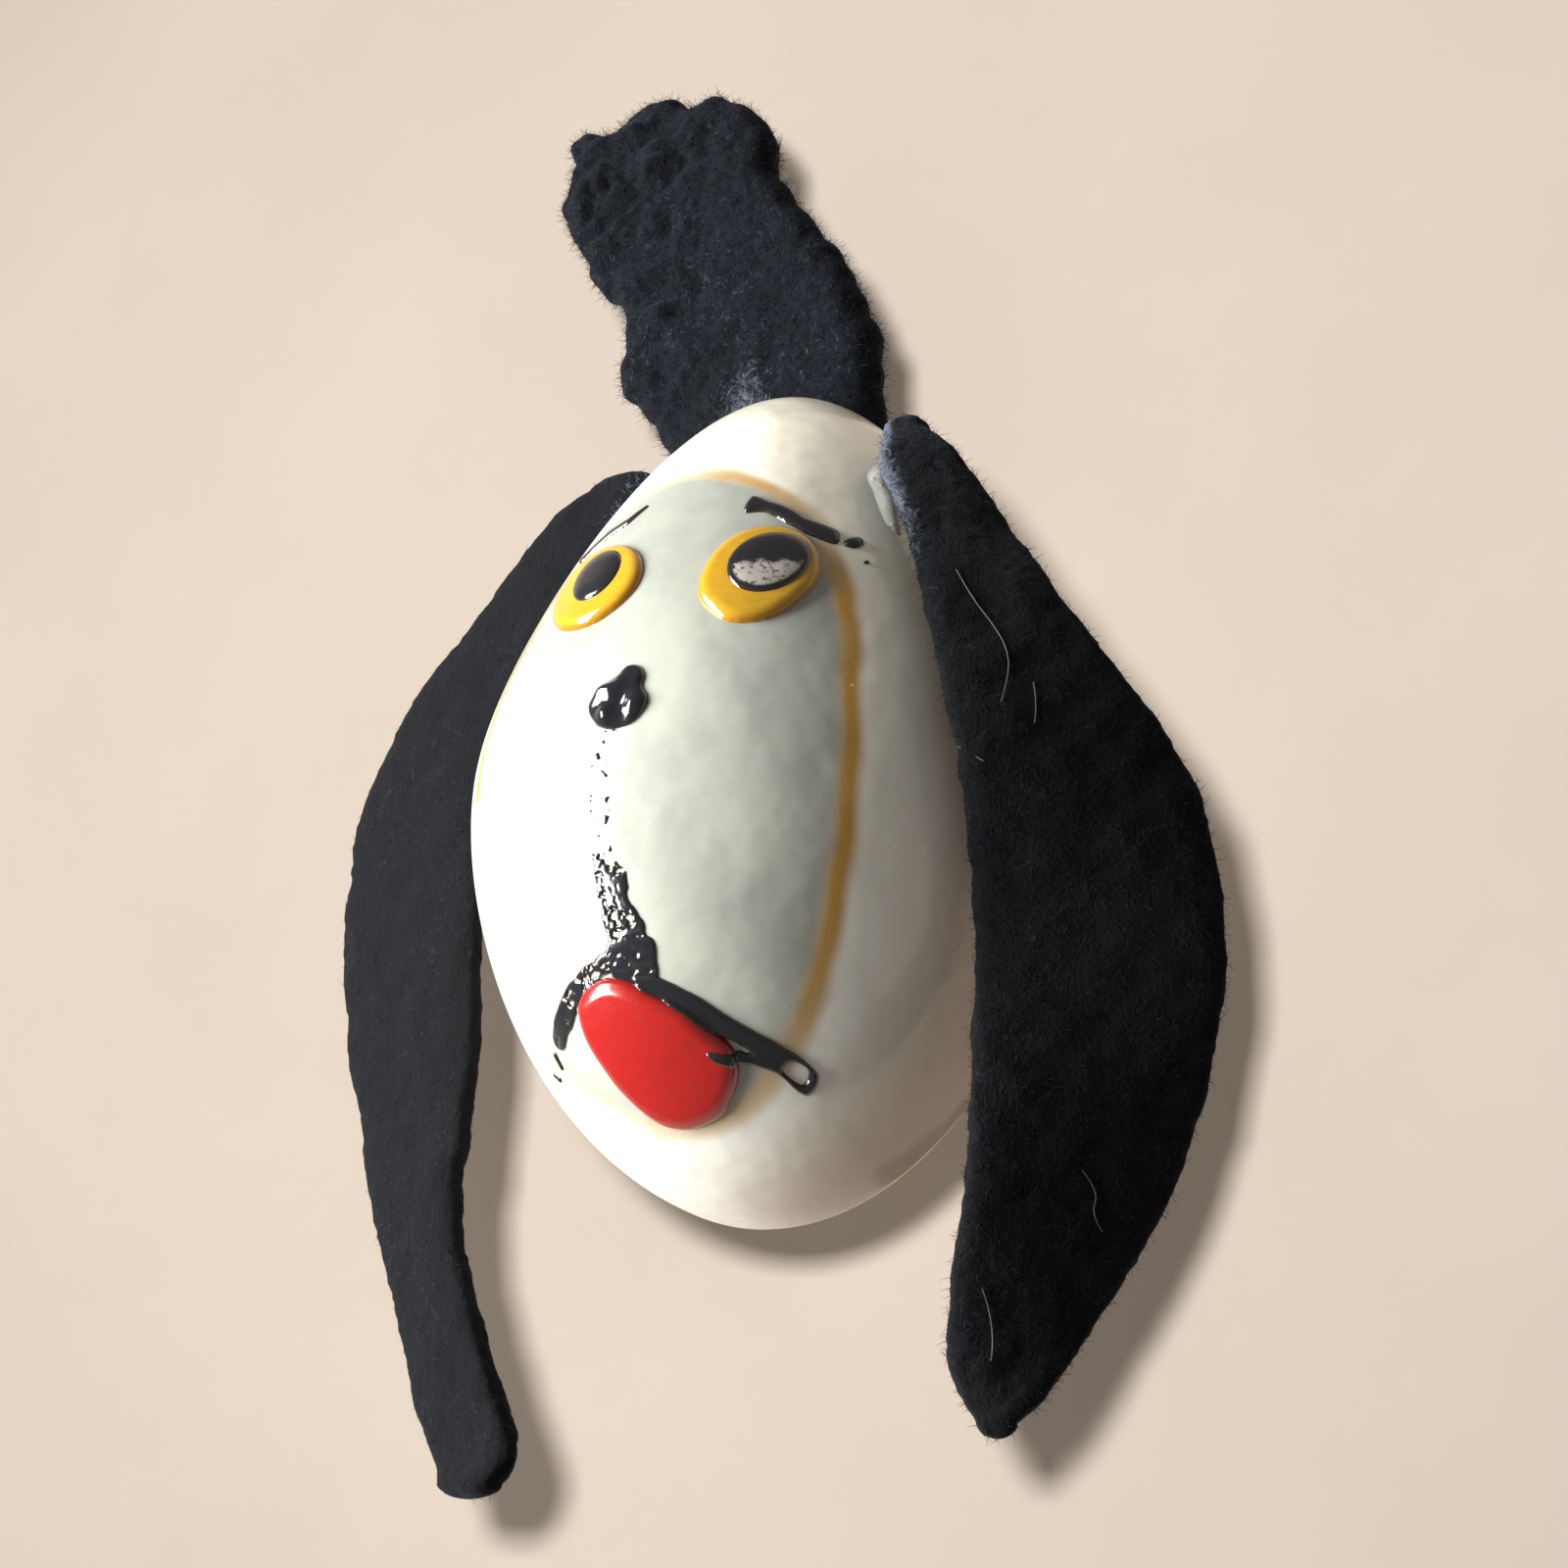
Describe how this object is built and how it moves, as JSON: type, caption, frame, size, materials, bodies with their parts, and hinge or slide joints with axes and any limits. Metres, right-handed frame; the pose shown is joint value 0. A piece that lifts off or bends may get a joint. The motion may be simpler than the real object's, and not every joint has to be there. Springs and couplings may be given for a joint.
{
  "type": "puppet head",
  "caption": "Small dog's head for a puppet, made from a ring-top cowrie shell with a painted face, hanging felt ears and a felt topknot.",
  "frame": {"origin": "middle of the shell's flat side, where the head is glued or held", "axes": "+Z from chin to crown, +Y out of the shell's flat side, so the face looks along -Y; +X is to the right of someone who faces it"},
  "size_m": [0.0296, 0.0129, 0.0443],
  "materials": {
    "shell": "natural polished shell, cream outside a thin ochre ring and blue-grey inside it",
    "eye_enamel": "gloss yellow enamel",
    "black_enamel": "gloss black enamel, worn in places",
    "red_enamel": "gloss red enamel",
    "black_felt": "black wool felt with a short nap",
    "glue": "clear craft glue, dried hazy"
  },
  "bodies": {
    "head": {"shell": "shell", "eye_disc_left": "eye_enamel", "eye_disc_right": "eye_enamel", "pupil_left": "black_enamel", "pupil_right": "black_enamel", "nose": "black_enamel", "tongue": "red_enamel", "brow_left": "black_enamel", "brow_right": "black_enamel", "muzzle_line": "black_enamel", "mouth_stroke_left": "black_enamel", "mouth_stroke_right": "black_enamel", "ear_root_left": "black_felt", "ear_root_right": "black_felt", "ear_glue_left": "glue", "ear_glue_right": "glue", "topknot_root": "black_felt", "topknot_glue": "glue"},
    "ear_left": {"ear_flap_left": "black_felt"},
    "ear_right": {"ear_flap_right": "black_felt"},
    "topknot": {"topknot": "black_felt"}
  },
  "joints": [
    {"name": "ear_left_lift", "type": "hinge", "parent": "head", "child": "ear_left", "pos_m": [-0.00998, -0.00313, 0.00525], "axis": [-0.9744, 0.225, 0], "range_deg": [-3, 60], "stiffness_Nm_per_rad": 0.00003},
    {"name": "ear_right_lift", "type": "hinge", "parent": "head", "child": "ear_right", "pos_m": [0.00787, -0.00675, 0.0047], "axis": [-0.8742, -0.4856, 0], "range_deg": [-3, 60], "stiffness_Nm_per_rad": 0.00003},
    {"name": "topknot_bend", "type": "hinge", "parent": "head", "child": "topknot", "pos_m": [-0.0016, -0.0011, 0.01325], "axis": [1, 0, 0], "range_deg": [-30, 35], "stiffness_Nm_per_rad": 0.00006}
  ]
}
